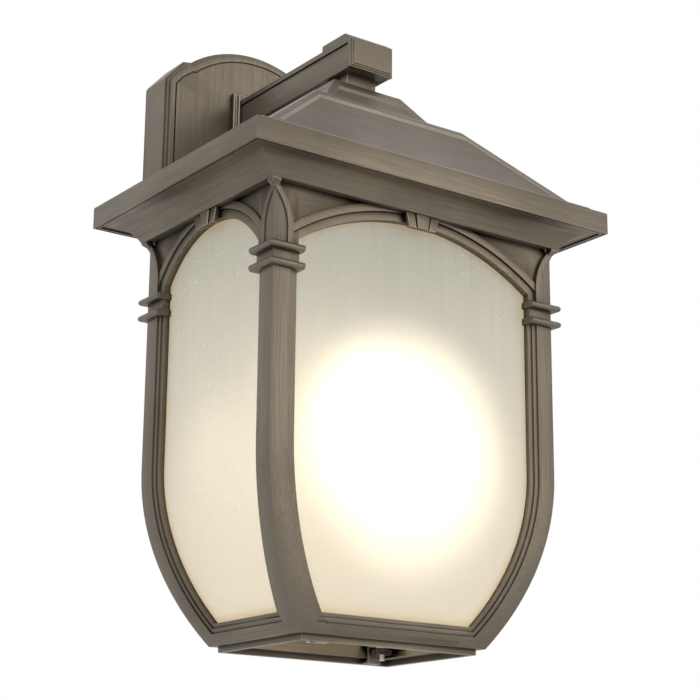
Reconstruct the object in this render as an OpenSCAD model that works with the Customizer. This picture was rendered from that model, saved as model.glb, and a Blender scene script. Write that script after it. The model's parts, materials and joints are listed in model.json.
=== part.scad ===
// Outdoor wall lantern: an arched wall plate, a short arm, a hipped roof in two tiers and a
// bent four-sided frame with frosted glass, open below.
// Origin: centre of the wall box, on the wall. +X across the wall, -Y away from it, +Z up.
// Heights are measured from the underside of the lantern, and drop moves them to the wall box.

/* [Body] */
// Width over the front posts
body_w = 220; // [190:1:236]
// Depth over the side posts
body_d = 149; // [126:1:165]
// Height of the underside of the posts
base_z = 3.7; // [3:0.1:6]
// Height where the straight sides begin to curve in
bend_z = 114.7; // [100:1:130]
// Radius of the curve in the width
bend_r_w = 176; // [150:1:230]
// Radius of the curve in the depth
bend_r_d = 267; // [220:1:330]
// Height of the top of the posts
body_top = 269.2; // [258:1:290]
// Width of a post face
post_face = 18.5; // [14:0.5:24]
// Thickness of the frame castings
post_wall = 6; // [5:0.5:8]
// Height of the bottom rail
rail_h = 12.5; // [11:0.5:16]
// Height of the spring of the arches
arch_spring = 235; // [232:1:240]
// Height of the crown of the arches
arch_crown = 263.5; // [255:0.5:266]
// Width of the arch moulding
arch_band = 10.5; // [8:0.5:13]
// Height of the lower bead of the capitals
cap_z = 217; // [205:1:220]
// Distance between the two beads
cap_gap = 11; // [8:0.5:12]

/* [Eaves and roof] */
// Width over the eaves
eaves_w = 280; // [262:1:320]
// Depth over the eaves
eaves_d = 199.6; // [184:1:230]
// Height of the band round the eaves
eaves_h = 12.2; // [9:0.5:16]
// Height of the lower roof tier
tier_low_h = 52.2; // [40:1:64]
// Height of the upper roof tier
tier_top_h = 22.7; // [18:1:30]
// Thickness of the roof castings
roof_wall = 3; // [2.5:0.5:4]

/* [Arm] */
// Distance from the wall to the axis of the lantern
reach = 152; // [140:1:175]
// Width of the arm
arm_w = 34.4; // [28:0.2:40]
// Height of the arm, without its lid
arm_h = 17.2; // [15:0.2:24]
// Height of the neck between the roof and the arm
neck_h = 11.2; // [8:0.2:16]

/* [Wall plate] */
// Width of the plate
plate_w = 151.8; // [140:1:170]
// Depth of the plate from the wall
plate_d = 31; // [28:1:40]
// Height of the underside of the plate
plate_low = 298; // [290:1:304]
// Height of the plate's shoulders
plate_shoulder = 415.5; // [408:1:425]
// Height of the plate's arched top above its shoulders
plate_rise = 36.8; // [32:0.5:42]
// Distance between the two wall screws
box_span = 79; // [70:1:89]

/* [Glass] */
// Thickness of the glass
glass_t = 3; // [2.5:0.5:4]
// Gap between the glass and the frame
glass_gap = 0.4; // [0.3:0.1:0.8]

/* [Lamp] */
// Height of the centre of the bulb
bulb_z = 140; // [130:1:150]
// Radius of the bulb
bulb_r = 30; // [25:1:32]
// Thickness of the bulb's glass
bulb_wall = 0.8; // [0.6:0.1:1.2]
// Radius of the bulb's screw base
base_r = 13.2; // [13:0.1:13.4]
// Radius of the lamp pipe
pipe_r = 5; // [4.5:0.1:6]

/* [Hidden] */
$fn = 96;

// Clearances and small shared sizes
fit = 0.05;              // radial gap of a screw, pipe or stud in its hole
run_fit = 0.09;          // radial gap of a nut or washer that turns on its stud
hole_gap = 0.25;         // radial gap of a clearance hole
seam = 0.2;              // gap between two castings that only meet
eps = 1;                 // how far a cut runs past a face
half_w = body_w / 2;
half_d = body_d / 2;
drop = 372;              // height of the wall box above the lantern's underside

// Colours
bronze = [0.46, 0.42, 0.35];
dark_bronze = [0.33, 0.30, 0.25];
zinc = [0.75, 0.76, 0.78];
brass_c = [0.80, 0.66, 0.35];
frost = [0.90, 0.89, 0.80, 0.8];

// Capitals, ribs and mouldings
bead_r = 2.2;
bead_out = 4.8;
cap_inset = 1.5;         // how far a capital passes the inner edge of its post
recess = 2;              // depth of the spandrels
step_w = 3;              // width of each of the two steps beside the glass
steps = [1.2, 2.4];      // depths of the outer and the inner step
rib_w = 4;
rib_proud = 1.2;
rib_start = cap_z + cap_gap + bead_r + 0.8;
rib_in = 13.4;           // distance of a rib's foot from the corner
rib_rise = 29.2;         // height of the curved stretch of a rib
rib_bend = body_top - rib_rise;
rib_r = arc_radius(rib_rise, rib_in);
rib_tip = 5;             // height of the pointed tip where two ribs meet
groove = 0.8;            // width of the groove between the two beads of an arch
key_low = arch_crown - 3.8;
key_high = body_top - seam;
key_out = 4.2;

// Cornice
cove_out = 4.4;          // how far the cornice stands out at its foot
soffit_z = body_top + 12;
lip = 1;                 // depth of the drip lip under the band
lip_w = 3.5;
lip_bead = 1.2;          // width of the lip outside its groove
lip_groove = 0.9;        // width and depth of the groove in the drip lip
soffit_flat = 1;         // flat between the cove and the lip
eaves_top = soffit_z + eaves_h + 1.2;
cornice_wall = 3.5;
rim_in = 13;             // width of the rim that carries the roof
well_w = body_w - 50;    // opening in the floor of the cornice
well_d = body_d - 49;

// Roof
flange_in = 8.4;         // distance of the roof's foot flange from the eaves
flange_h = 4.6;
foot_in = 5.6;           // distance of a slope's foot from the flange's edge
tier_low_z = eaves_top + flange_h;
tier_top_z = tier_low_z + tier_low_h;
ledge_h = 2.5;
roof_top = tier_top_z + ledge_h + tier_top_h;
low_foot = [eaves_w / 2 - flange_in - foot_in, eaves_d / 2 - flange_in + 1 - foot_in];
low_head = [60.2, 44.1];
top_foot = [46, 33];
top_head = [27.7, 18.2];
ledge = [52, 38.5];
border = 5;              // width of the raised border round a sunk panel
sunk = 1.6;

// Arm
neck_w = 23.8;
neck_d = 22.4;
arm_z = roof_top + neck_h;
arm_wall = 3;
arm_front = reach + 19.5;
head_front = reach + 26.5;
lid_gap = 1;
lid_h = 3.5;
lid_over = 0.6;
lid_z = arm_z + arm_h + lid_gap;
hood_h = 4.2;
hood_back = reach - 10.8;
collar_1 = 4;
collar_2 = 3.6;
arm_back = plate_d + collar_1 + collar_2;
end_wall = 8;
arm_mid = arm_z + arm_h / 2;
bolt_x = 10;
bolt_r = 2.5;
cable_r = 5;             // radius of the wires' way through the arm's end and the collar
lid_screw_z = arm_mid + cable_r + 0.8;

// Wall plate and bracket
plate_wall = 4;
gasket_t = 2;
arc_r = 88;
arc_half = 54;
shoulder_out = 7;
bracket_t = 2;
bracket_w = 60;
bracket_low = plate_low + plate_wall + 2;
bracket_top = 432;
slot_r = 2.5;
slot_l = 22;
bracket_ear = 105;       // width of the bracket where the slots are
ear_h = 24;
fix_x = 18;
fix_y = 12;
m4 = 2;
m3 = 1.5;

// Bottom rail, ring and thumb nuts
rail_floor = 4;
rail_lip_in = post_wall + glass_gap + glass_t + 0.6;
rail_lip = 2;
ring_wall = 3;
ring_step = 4.2;
stud_in = [27.9, 26.1];  // distance of a stud from the outer faces at the level of the nut
tab_t = 2;
tab_z = base_z + 8.3;
ear_z = tab_z - tab_t;
ear_t = 1.6;
stud_low = 1.5;
nut_r = 6.5;
nut_h = 4.4;
washer_t = 0.6;

// Glass and its clips
glass_in = post_wall + glass_gap;
glass_corner = 1.1;      // gap between two glass panels at a corner
glass_edge = glass_in + glass_t + glass_corner;
glass_low = base_z + rail_floor + 0.4;
glass_top = body_top - 2.7;
clip_t = 1.2;
clip_drop = 12;
clip_w = 10;
clip_at = [45, 26];
clip_foot = 13;

// Lamp holder
shell_gap = 0.4;
shell_t = 0.8;
shell_in = base_r + shell_gap;
shell_out = shell_in + shell_t;
base_low = bulb_z + 48;
base_h = 22;
tip_z = base_low + base_h + 4;
tip_h = 1.5;
tip_r = 4.5;
contact_gap = 0.5;
holder_r = 20;
holder_low = base_low + 4;
holder_top = tip_z + tip_h + contact_gap + 8;
cap_h = 8;
nut_across = 2 * pipe_r + 4;
pipe_wall = 1.4;
wire_sides = 8;
wire_r = 0.9;
wire_top = arm_z + arm_wall + 8;

// Half of the body's width or depth at a height, in from its face by a
function half_at(half, r, z, a = 0) =
    z >= bend_z ? half - a : half - r + sqrt(pow(r - a, 2) - pow(bend_z - z, 2));
// Radius of an arc from its half chord and its rise
function arc_radius(s, h) = (s * s + h * h) / (2 * h);
// Distance of a hip from the middle line at a distance v along the slope's other axis
function hip(v, foot, head, a, b) =
    head[a] + (v - head[b]) * (foot[a] - head[a]) / (foot[b] - head[b]);

ring_w = half_at(half_w, bend_r_w, base_z) - ring_step;
ring_d = half_at(half_d, bend_r_d, base_z) - ring_step;
stud_x = half_at(half_w, bend_r_w, ear_z) - stud_in[0];
stud_y = half_at(half_d, bend_r_d, ear_z) - stud_in[1];
ear_y = half_at(half_d, bend_r_d, base_z, rail_lip_in + rail_lip) - 0.3;

// Placing
module from_wall() translate([0, 0, -drop]) children();
module on_axis() translate([0, -reach, -drop]) children();
module front_view(d) rotate([90, 0, 0]) linear_extrude(height = d, center = true) children();
module side_view(w) rotate([90, 0, 90]) linear_extrude(height = w, center = true) children();
module four_corners(x, y, z = 0)
    for (i = [-1, 1], j = [-1, 1]) translate([i * x, j * y, z]) children();

// Box centred on the axis: half width, half depth, height range
module block(w, d, z0, z1) translate([-w, -d, z0]) cube([2 * w, 2 * d, z1 - z0]);
// Box from the corner p to the corner q
module span(p, q) translate(p) cube(q - p);
// Upright cylinder between two heights
module rod(r, z0, z1) translate([0, 0, z0]) cylinder(r = r, h = z1 - z0);
// Cylinder along Y from y0 to y1
module cross_rod(r, y0, y1) translate([0, y0, 0]) rotate([-90, 0, 0]) cylinder(r = r, h = y1 - y0);

// Outline of the bent sides, in from the face by a, between two heights
module bent_outline(half, r, a, z0, z1) {
    if (z1 > bend_z)
        translate([a - half, max(bend_z, z0)]) square([2 * (half - a), z1 - max(bend_z, z0)]);
    if (z0 < bend_z)
        intersection() {
            translate([half - r, bend_z]) circle(r = r - a, $fn = 360);
            translate([r - half, bend_z]) circle(r = r - a, $fn = 360);
            translate([-half, z0]) square([2 * half, min(bend_z, z1) - z0]);
        }
}
// Everything nearer the axis than a from the left and right faces
module within_w(a, z0, z1) front_view(eaves_d + 60) bent_outline(half_w, bend_r_w, a, z0, z1);
// Everything nearer the axis than a from the front and rear faces
module within_d(a, z0, z1) side_view(eaves_w + 60) bent_outline(half_d, bend_r_d, a, z0, z1);
module bent_box(a, z0, z1) {
    intersection() {
        within_w(a, z0, z1);
        within_d(a, z0, z1);
    }
}
// Strip of depth deep on the front and rear faces, at least edge from the side faces
module front_strip(edge, deep, z0, z1) {
    difference() {
        within_w(edge, z0, z1);
        within_d(deep, z0 - eps, z1 + eps);
    }
}
module side_strip(edge, deep, z0, z1) {
    difference() {
        within_d(edge, z0, z1);
        within_w(deep, z0 - eps, z1 + eps);
    }
}

// ---------- Frame of the body ----------
// Rounded bead in a half profile, standing out from the face
module bead_outline(half, z) {
    translate([-(half + bead_out - bead_r), z - bead_r]) square([2 * (half + bead_out - bead_r), 2 * bead_r]);
    for (s = [-1, 1]) translate([s * (half + bead_out - bead_r), z]) circle(r = bead_r);
}
module capital_bead(z) {
    intersection() {
        front_view(2 * (half_d + 20)) bead_outline(half_w, z);
        side_view(2 * (half_w + 20)) bead_outline(half_d, z);
        difference() {
            block(half_w + 20, half_d + 20, z - 5, z + 5);
            block(half_w - post_face - cap_inset, half_d + 21, z - 6, z + 6);
            block(half_w + 21, half_d - post_face - cap_inset, z - 6, z + 6);
            block(half_w - post_wall, half_d - post_wall, z - 6, z + 6);
        }
    }
}
// Everything on the corner's side of a rib's inner edge, moved in by a
module rib_side(half, a) {
    foot = half - rib_in;
    translate([foot + rib_r, rib_bend]) circle(r = rib_r - a, $fn = 240);
    translate([foot + a, rib_start - 1]) square([rib_r, rib_bend - rib_start + 1]);
}
// Outline of one rib: upright, then an arc that leans out to the corner of the cornice
module rib_outline(half) {
    intersection() {
        difference() {
            rib_side(half, 0);
            rib_side(half, rib_w);
        }
        translate([half - rib_in - 1, rib_start - 1])
            square([rib_in + cove_out + 1, body_top - rib_start + 1]);
    }
}
// Disc under an arch whose edge is out from the opening by a
module arch_disc(half, a) {
    r = arc_radius(half - post_face, arch_crown - arch_spring);
    translate([0, arch_crown - r]) circle(r = r + a, $fn = 360);
}
// The part of a post between its rib and the arch
module spandrel_outline(half) {
    difference() {
        translate([half - post_face - 1, rib_start]) square([post_face + cove_out, body_top - rib_start + 1]);
        rib_side(half, 0);
    }
}
// The spandrel and the groove of the arch where they run on over a post
module deep_relief(half) {
    difference() {
        spandrel_outline(half);
        arch_disc(half, (arch_band - groove) / 2);
        difference() {
            arch_disc(half, arch_band);
            arch_disc(half, (arch_band + groove) / 2);
        }
    }
}
// The lower bead of the arch where it runs on over a post
module shallow_relief(half) {
    intersection() {
        spandrel_outline(half);
        arch_disc(half, (arch_band - groove) / 2);
    }
}
module tip_outline(half) {
    polygon([[-half, body_top - rib_tip], [half, body_top - rib_tip], [half + cove_out, body_top - 1],
        [half + cove_out, body_top], [-half - cove_out, body_top], [-half - cove_out, body_top - 1]]);
}
module quadrant(sx, sy)
    intersection() {
        children();
        span([sx > 0 ? 0 : -eaves_w, sy > 0 ? 0 : -eaves_w, -eps],
            [sx > 0 ? eaves_w : 0, sy > 0 ? eaves_w : 0, body_top + 50]);
    }
module corner_bars() {
    difference() {
        bent_box(0, base_z, body_top);
        within_w(post_face, base_z - eps, body_top + eps);
        within_d(post_face, base_z - eps, body_top + eps);
        bent_box(post_wall, base_z - eps, body_top + eps);
        for (i = [0, 1]) {
            front_strip(post_face - (2 - i) * step_w, steps[i], base_z + rail_h - (2 - i) * step_w, cap_z);
            side_strip(post_face - (2 - i) * step_w, steps[i], base_z + rail_h - (2 - i) * step_w, cap_z);
        }
    }
}
// Cuts deep into the two outer faces of the post at the corner sx, sy
module face_cut(sx, sy, deep) {
    translate([0, sy * (half_d + 10), 0]) front_view(2 * (10 + deep))
        mirror([sx > 0 ? 0 : 1, 0]) children(0);
    translate([sx * (half_w + 10), 0, 0]) side_view(2 * (10 + deep))
        mirror([sy > 0 ? 0 : 1, 0]) children(1);
}
module post(sx, sy) {
    color(bronze) on_axis() quadrant(sx, sy) {
        difference() {
            union() {
                difference() {
                    corner_bars();
                    face_cut(sx, sy, recess) {
                        deep_relief(half_w);
                        deep_relief(half_d);
                    }
                    face_cut(sx, sy, recess / 2) {
                        shallow_relief(half_w);
                        shallow_relief(half_d);
                    }
                }
                capital_bead(cap_z);
                capital_bead(cap_z + cap_gap);
                translate([0, sy * (half_d - 1 + rib_proud / 2), 0]) front_view(rib_proud + 2)
                    mirror([sx > 0 ? 0 : 1, 0]) rib_outline(half_w);
                translate([sx * (half_w - 1 + rib_proud / 2), 0, 0]) side_view(rib_proud + 2)
                    mirror([sy > 0 ? 0 : 1, 0]) rib_outline(half_d);
                // pointed tip where the two ribs meet under the cornice
                intersection() {
                    front_view(2 * (half_d + 20)) tip_outline(half_w);
                    side_view(2 * (half_w + 20)) tip_outline(half_d);
                    translate([sx * (half_w + 1.7), sy * (half_d + 1.7), 0])
                        block(2.8, 2.8, body_top - rib_tip - 1, body_top + eps);
                }
                // tab under the cornice that takes the frame's screw, clear of the arches
                intersection() {
                    difference() {
                        bent_box(post_wall - 2, body_top - 2, body_top);
                        front_strip(post_face, post_wall + seam, body_top - 3, body_top + eps);
                        side_strip(post_face, post_wall + seam, body_top - 3, body_top + eps);
                    }
                    translate([sx * (half_w - 14), sy * (half_d - 14), 0])
                        block(11, 11, body_top - 2, body_top);
                }
            }
            translate([sx * (half_w - 16), sy * (half_d - 16), 0])
                rod(m4 + hole_gap, body_top - 5, body_top + eps);
        }
    }
}
module post_front_left() { post(-1, -1); }
module post_front_right() { post(1, -1); }
module post_rear_left() { post(-1, 1); }
module post_rear_right() { post(1, 1); }

// Part of an arch and its spandrels, between two distances out from the opening
module arch_outline(half, inner, outer) {
    s = half - post_face;
    intersection() {
        difference() {
            translate([-s, arch_spring]) square([2 * s, body_top - arch_spring]);
            arch_disc(half, inner);
        }
        arch_disc(half, outer);
    }
}
// The arch as a solid lying on the plane y = 0 with its outer face at -Y: spandrel and two beads
module arch(half) {
    levels = [[0, body_top, recess], [0, (arch_band - groove) / 2, recess / 2],
        [(arch_band + groove) / 2, arch_band, 0]];
    for (l = levels)
        translate([0, (l[2] + post_wall) / 2, 0]) front_view(post_wall - l[2])
            arch_outline(half, l[0], l[1]);
}
module arch_front() { color(bronze) on_axis() translate([0, -half_d, 0]) arch(half_w); }
module arch_rear() { color(bronze) on_axis() rotate(180) translate([0, -half_d, 0]) arch(half_w); }
module arch_left() { color(bronze) on_axis() rotate(-90) translate([0, -half_w, 0]) arch(half_d); }
module arch_right() { color(bronze) on_axis() rotate(90) translate([0, -half_w, 0]) arch(half_d); }

// One tapered strip of a keystone: its left and right edges at the foot and at the head
module key_strip(foot, head, out)
    translate([0, -out / 2, 0]) front_view(out)
        polygon([[foot[0], key_low], [foot[1], key_low], [head[1], key_high], [head[0], key_high]]);
module keystone() {
    key_strip([-4, 4], [-5.4, 5.4], key_out);
    for (s = [0, 1]) mirror([s, 0, 0]) key_strip([5.2, 10.6], [6.8, 13], key_out - 0.6);
    key_strip([-10, 10], [-12.4, 12.4], key_out - 1.8);
}
module keystone_front() { color(bronze) on_axis() translate([0, -half_d, 0]) keystone(); }
module keystone_rear() { color(bronze) on_axis() rotate(180) translate([0, -half_d, 0]) keystone(); }
module keystone_left() { color(bronze) on_axis() rotate(-90) translate([0, -half_w, 0]) keystone(); }
module keystone_right() { color(bronze) on_axis() rotate(90) translate([0, -half_w, 0]) keystone(); }

module rail_walls() {
    top = base_z + rail_h;
    difference() {
        bent_box(0, base_z, top);
        bent_box(post_wall, base_z - eps, top + eps);
        intersection() {
            difference() {
                bent_box(-1, base_z - eps, top + eps);
                within_w(post_face, base_z - 2, top + 2);
                within_d(post_face, base_z - 2, top + 2);
            }
            block(half_w, half_d, base_z - eps, top + eps);
        }
        for (i = [0, 1]) {
            front_strip(0, steps[i], top - (2 - i) * step_w, top + eps);
            side_strip(0, steps[i], top - (2 - i) * step_w, top + eps);
        }
    }
}
module bottom_rail() {
    color(bronze) on_axis() {
        difference() {
            union() {
                rail_walls();
                difference() {
                    bent_box(post_wall, base_z, base_z + rail_floor);
                    bent_box(rail_lip_in + rail_lip, base_z - eps, base_z + rail_floor + eps);
                }
                difference() {
                    bent_box(rail_lip_in, base_z, base_z + 10);
                    bent_box(rail_lip_in + rail_lip, base_z - eps, base_z + 11);
                }
                // corner plates that carry the studs
                for (turn = [0, 180])
                    intersection() {
                        bent_box(rail_lip_in + 0.5, tab_z, base_z + 10);
                        rotate(turn) span([stud_x - 7, stud_y - 7, tab_z], [half_w, half_d, base_z + 10]);
                    }
            }
            for (s = [-1, 1])
                translate([s * stud_x, s * stud_y, 0]) rod(m4 + fit, tab_z - eps, tab_z + 10);
        }
    }
}
// Thin open frame under the rail, with two upright ears that the thumb nuts hold
module base_ring() {
    color(bronze) on_axis() {
        difference() {
            union() {
                difference() {
                    block(ring_w, ring_d, 0, base_z);
                    block(ring_w - ring_wall, ring_d - ring_wall, -eps, base_z + eps);
                }
                // bent ears: in under the rail, up past its lip and in again to the stud
                for (turn = [0, 180])
                    rotate(turn) translate([stud_x, 0, 0]) {
                        span([-5, ear_y - ear_t, 0], [5, ring_d - 1, ear_t]);
                        span([-5, ear_y - ear_t, 0], [5, ear_y, tab_z - 0.1]);
                        span([-5, stud_y - 4.5, ear_z], [5, ear_y, tab_z - 0.1]);
                    }
            }
            for (s = [-1, 1])
                translate([s * stud_x, s * stud_y, 0]) rod(m4 + hole_gap, ear_z - eps, tab_z + eps);
        }
    }
}
module ring_stud(s)
    color(zinc) on_axis() translate([s * stud_x, s * stud_y, 0]) rod(m4, stud_low, base_z + 10);
module ring_stud_rear() { ring_stud(1); }
module ring_stud_front() { ring_stud(-1); }
module ring_washer(s)
    color(zinc) on_axis() translate([s * stud_x, s * stud_y, 0])
        difference() {
            rod(4.5, ear_z - washer_t - 0.1, ear_z - 0.1);
            rod(m4 + run_fit, ear_z - 3, ear_z + eps);
        }
module ring_washer_rear() { ring_washer(1); }
module ring_washer_front() { ring_washer(-1); }
module thumb_nut(s) {
    nut_top = ear_z - washer_t - 0.2;
    color("black") on_axis() translate([s * stud_x, s * stud_y, 0])
        difference() {
            union() {
                rod(nut_r, nut_top - nut_h, nut_top - 1);
                rod(4, nut_top - nut_h, nut_top);
            }
            rod(m4 + run_fit, nut_top - nut_h - eps, nut_top + eps);
            for (k = [0:19])
                rotate(k * 18) translate([nut_r + 0.2, 0, 0]) rod(0.55, nut_top - nut_h - eps, nut_top + eps);
        }
}
module thumb_nut_rear() { thumb_nut(1); }
module thumb_nut_front() { thumb_nut(-1); }

// ---------- Glass ----------
module glass_w(s) {
    color(frost) on_axis()
        intersection() {
            within_w(glass_edge, glass_low, glass_top);
            difference() {
                within_d(glass_in, glass_low, glass_top);
                within_d(glass_in + glass_t, glass_low - eps, glass_top + eps);
            }
            translate([0, s * half_d, 0]) block(half_w, half_d - 5, 0, body_top);
        }
}
module glass_d(s) {
    color(frost) on_axis()
        intersection() {
            within_d(glass_edge, glass_low, glass_top);
            difference() {
                within_w(glass_in, glass_low, glass_top);
                within_w(glass_in + glass_t, glass_low - eps, glass_top + eps);
            }
            translate([s * half_w, 0, 0]) block(half_w - 5, half_d, 0, body_top);
        }
}
module glass_front() { glass_w(-1); }
module glass_rear() { glass_w(1); }
module glass_left() { glass_d(-1); }
module glass_right() { glass_d(1); }

// Runs its children at each clip, with -Y facing out through the glass
module at_clips() {
    for (turn = [0, 180], s = [-1, 1])
        rotate(turn) translate([s * clip_at[0], -half_d + glass_in + glass_t, 0]) children();
    for (turn = [90, -90], s = [-1, 1])
        rotate(turn) translate([s * clip_at[1], -half_w + glass_in + glass_t, 0]) children();
}
module glass_clips() {
    color(zinc) on_axis() at_clips()
        difference() {
            union() {
                span([-clip_w / 2, 0.1, body_top - clip_drop], [clip_w / 2, 0.1 + clip_t, body_top]);
                span([-clip_w / 2, 0.1, body_top - clip_t], [clip_w / 2, clip_foot, body_top]);
            }
            translate([0, clip_foot - 5, 0]) rod(m3 + hole_gap, body_top - 3, body_top + eps);
        }
}
module clip_screws() {
    color(zinc) on_axis() at_clips() translate([0, clip_foot - 5, 0]) {
        rod(3, body_top - clip_t - 2, body_top - clip_t);
        rod(m3, body_top - clip_t - 0.5, body_top + cornice_wall - 0.5);
    }
}
module cage_screws() {
    color(zinc) on_axis() four_corners(half_w - 16, half_d - 16) {
        rod(3.6, body_top - 4.6, body_top - 2);
        rod(m4, body_top - 2.5, body_top + cornice_wall - 0.5);
    }
}

// ---------- Cornice and roof ----------
// Outline of the cornice: a cove up to the soffit, a grooved drip lip and the band
module cornice_outline(foot, edge) {
    cove_end = edge - lip_w - soffit_flat;
    cove_r = arc_radius(cove_end - foot, soffit_z - body_top);
    difference() {
        translate([-cove_end, body_top]) square([2 * cove_end, soffit_z - body_top]);
        for (s = [-1, 1])
            translate([s * cove_end, soffit_z - cove_r]) circle(r = cove_r, $fn = 240);
    }
    translate([-edge, soffit_z]) square([2 * edge, eaves_top - soffit_z]);
}
// Frame between two distances in from the edge of the eaves
module eaves_frame(out, in, z0, z1) {
    difference() {
        block(eaves_w / 2 - out, eaves_d / 2 - out, z0, z1);
        block(eaves_w / 2 - in, eaves_d / 2 - in, z0 - eps, z1 + eps);
    }
}
module drip_lip() {
    difference() {
        eaves_frame(0, lip_w, soffit_z - lip, soffit_z + 0.5);
        eaves_frame(lip_bead, lip_bead + lip_groove, soffit_z - lip - eps, soffit_z - lip + lip_groove);
    }
}
module cornice() {
    foot_w = half_w + cove_out;
    foot_d = half_d + cove_out;
    color(bronze) on_axis()
        difference() {
            union() {
                intersection() {
                    front_view(eaves_d) cornice_outline(foot_w, eaves_w / 2);
                    side_view(eaves_w) cornice_outline(foot_d, eaves_d / 2);
                }
                drip_lip();
            }
            block(well_w / 2, well_d / 2, body_top - eps, body_top + 10);
            block(foot_w - cornice_wall, foot_d - cornice_wall, body_top + cornice_wall, eaves_top - 5);
            block(eaves_w / 2 - cornice_wall, eaves_d / 2 - cornice_wall,
                soffit_z + cornice_wall, eaves_top - cornice_wall);
            block(eaves_w / 2 - rim_in, eaves_d / 2 - rim_in, eaves_top - 6, eaves_top + eps);
            four_corners(half_w - 16, half_d - 16) rod(m4 + fit, body_top - eps, body_top + 8);
            at_clips() translate([0, clip_foot - 5, 0]) rod(m3 + fit, body_top - eps, body_top + 8);
        }
}
module roof_strap() {
    color(zinc) on_axis()
        difference() {
            block(well_w / 2 + 9, 11, body_top + cornice_wall, body_top + cornice_wall + 2.5);
            rod(pipe_r + fit, body_top, body_top + 10);
        }
}
module lock_nut(z)
    difference() {
        translate([0, 0, z]) cylinder(d = nut_across / cos(30), h = 4, $fn = 6);
        rod(pipe_r + fit, z - eps, z + 5);
    }
module strap_lock_nut() { color(zinc) on_axis() lock_nut(body_top + cornice_wall - 4); }
module arm_lock_nut() { color(zinc) on_axis() lock_nut(arm_z + arm_wall); }

// Solid with straight hips, between a foot and a head given as half sizes
module hipped(foot, head, z0, z1) {
    intersection() {
        front_view(2 * foot[1]) polygon([[-foot[0], z0], [foot[0], z0], [head[0], z1], [-head[0], z1]]);
        side_view(2 * foot[0]) polygon([[-foot[1], z0], [foot[1], z0], [head[1], z1], [-head[1], z1]]);
    }
}
// Plan of the sunk panels: four trapezia that leave a border along the hips, foot and head
module panel_plan(foot, head) {
    y0 = foot[1] - border;
    y1 = head[1] + border * 0.8;
    x0 = foot[0] - border;
    x1 = head[0] + border * 0.8;
    for (s = [0, 1]) {
        mirror([0, s]) polygon([
            [-hip(y0, foot, head, 0, 1) + border * 1.3, y0], [hip(y0, foot, head, 0, 1) - border * 1.3, y0],
            [hip(y1, foot, head, 0, 1) - border * 1.3, y1], [-hip(y1, foot, head, 0, 1) + border * 1.3, y1]]);
        mirror([s, 0]) polygon([
            [x0, -hip(x0, foot, head, 1, 0) + border * 1.3], [x0, hip(x0, foot, head, 1, 0) - border * 1.3],
            [x1, hip(x1, foot, head, 1, 0) - border * 1.3], [x1, -hip(x1, foot, head, 1, 0) + border * 1.3]]);
    }
}
module sunk_panels(foot, head, z0, z1) {
    difference() {
        translate([0, 0, z0 - 2]) linear_extrude(height = z1 - z0 + 6) panel_plan(foot, head);
        translate([0, 0, -sunk]) hipped(foot, head, z0 - 10, z1);
        translate([0, 0, -sunk]) hipped(foot, head, z0, z1);
    }
}
module roof_lower() {
    flange = [eaves_w / 2 - flange_in, eaves_d / 2 - flange_in + 1];
    color(bronze) on_axis()
        difference() {
            union() {
                block(flange[0], flange[1], eaves_top, tier_low_z);
                hipped(low_foot, low_head, tier_low_z, tier_top_z);
            }
            sunk_panels(low_foot, low_head, tier_low_z, tier_top_z);
            hipped(low_foot - [5, 5], low_head - [4, 4], tier_low_z - 1.5, tier_top_z - roof_wall - 1);
            block(low_foot[0] - 5, low_foot[1] - 5, eaves_top - eps, tier_low_z - 1.5);
            rod(16, tier_top_z - 10, tier_top_z + eps);
        }
}
module roof_upper() {
    z0 = tier_top_z + ledge_h;
    color(bronze) on_axis()
        difference() {
            union() {
                block(ledge[0], ledge[1], tier_top_z, z0);
                hipped(top_foot, top_head, z0, roof_top);
            }
            sunk_panels(top_foot, top_head, z0, roof_top);
            hipped([top_foot[0] - 7, top_foot[1] - 7], [top_head[0] - 7, top_head[1] - 6],
                z0 - 1, roof_top - roof_wall - 2);
            block(top_foot[0] - 7, top_foot[1] - 7, tier_top_z - eps, z0 - 1);
            rod(pipe_r + fit, roof_top - 12, roof_top + eps);
        }
}
module neck() {
    color(dark_bronze) on_axis()
        difference() {
            block(neck_w / 2, neck_d / 2, roof_top, arm_z);
            rod(pipe_r + fit, roof_top - eps, arm_z + eps);
        }
}
module lamp_pipe() {
    color(zinc) on_axis()
        difference() {
            rod(pipe_r, holder_top + 3, arm_z + arm_wall + 5);
            rod(pipe_r - pipe_wall, holder_top, arm_z + 20);
        }
}

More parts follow.
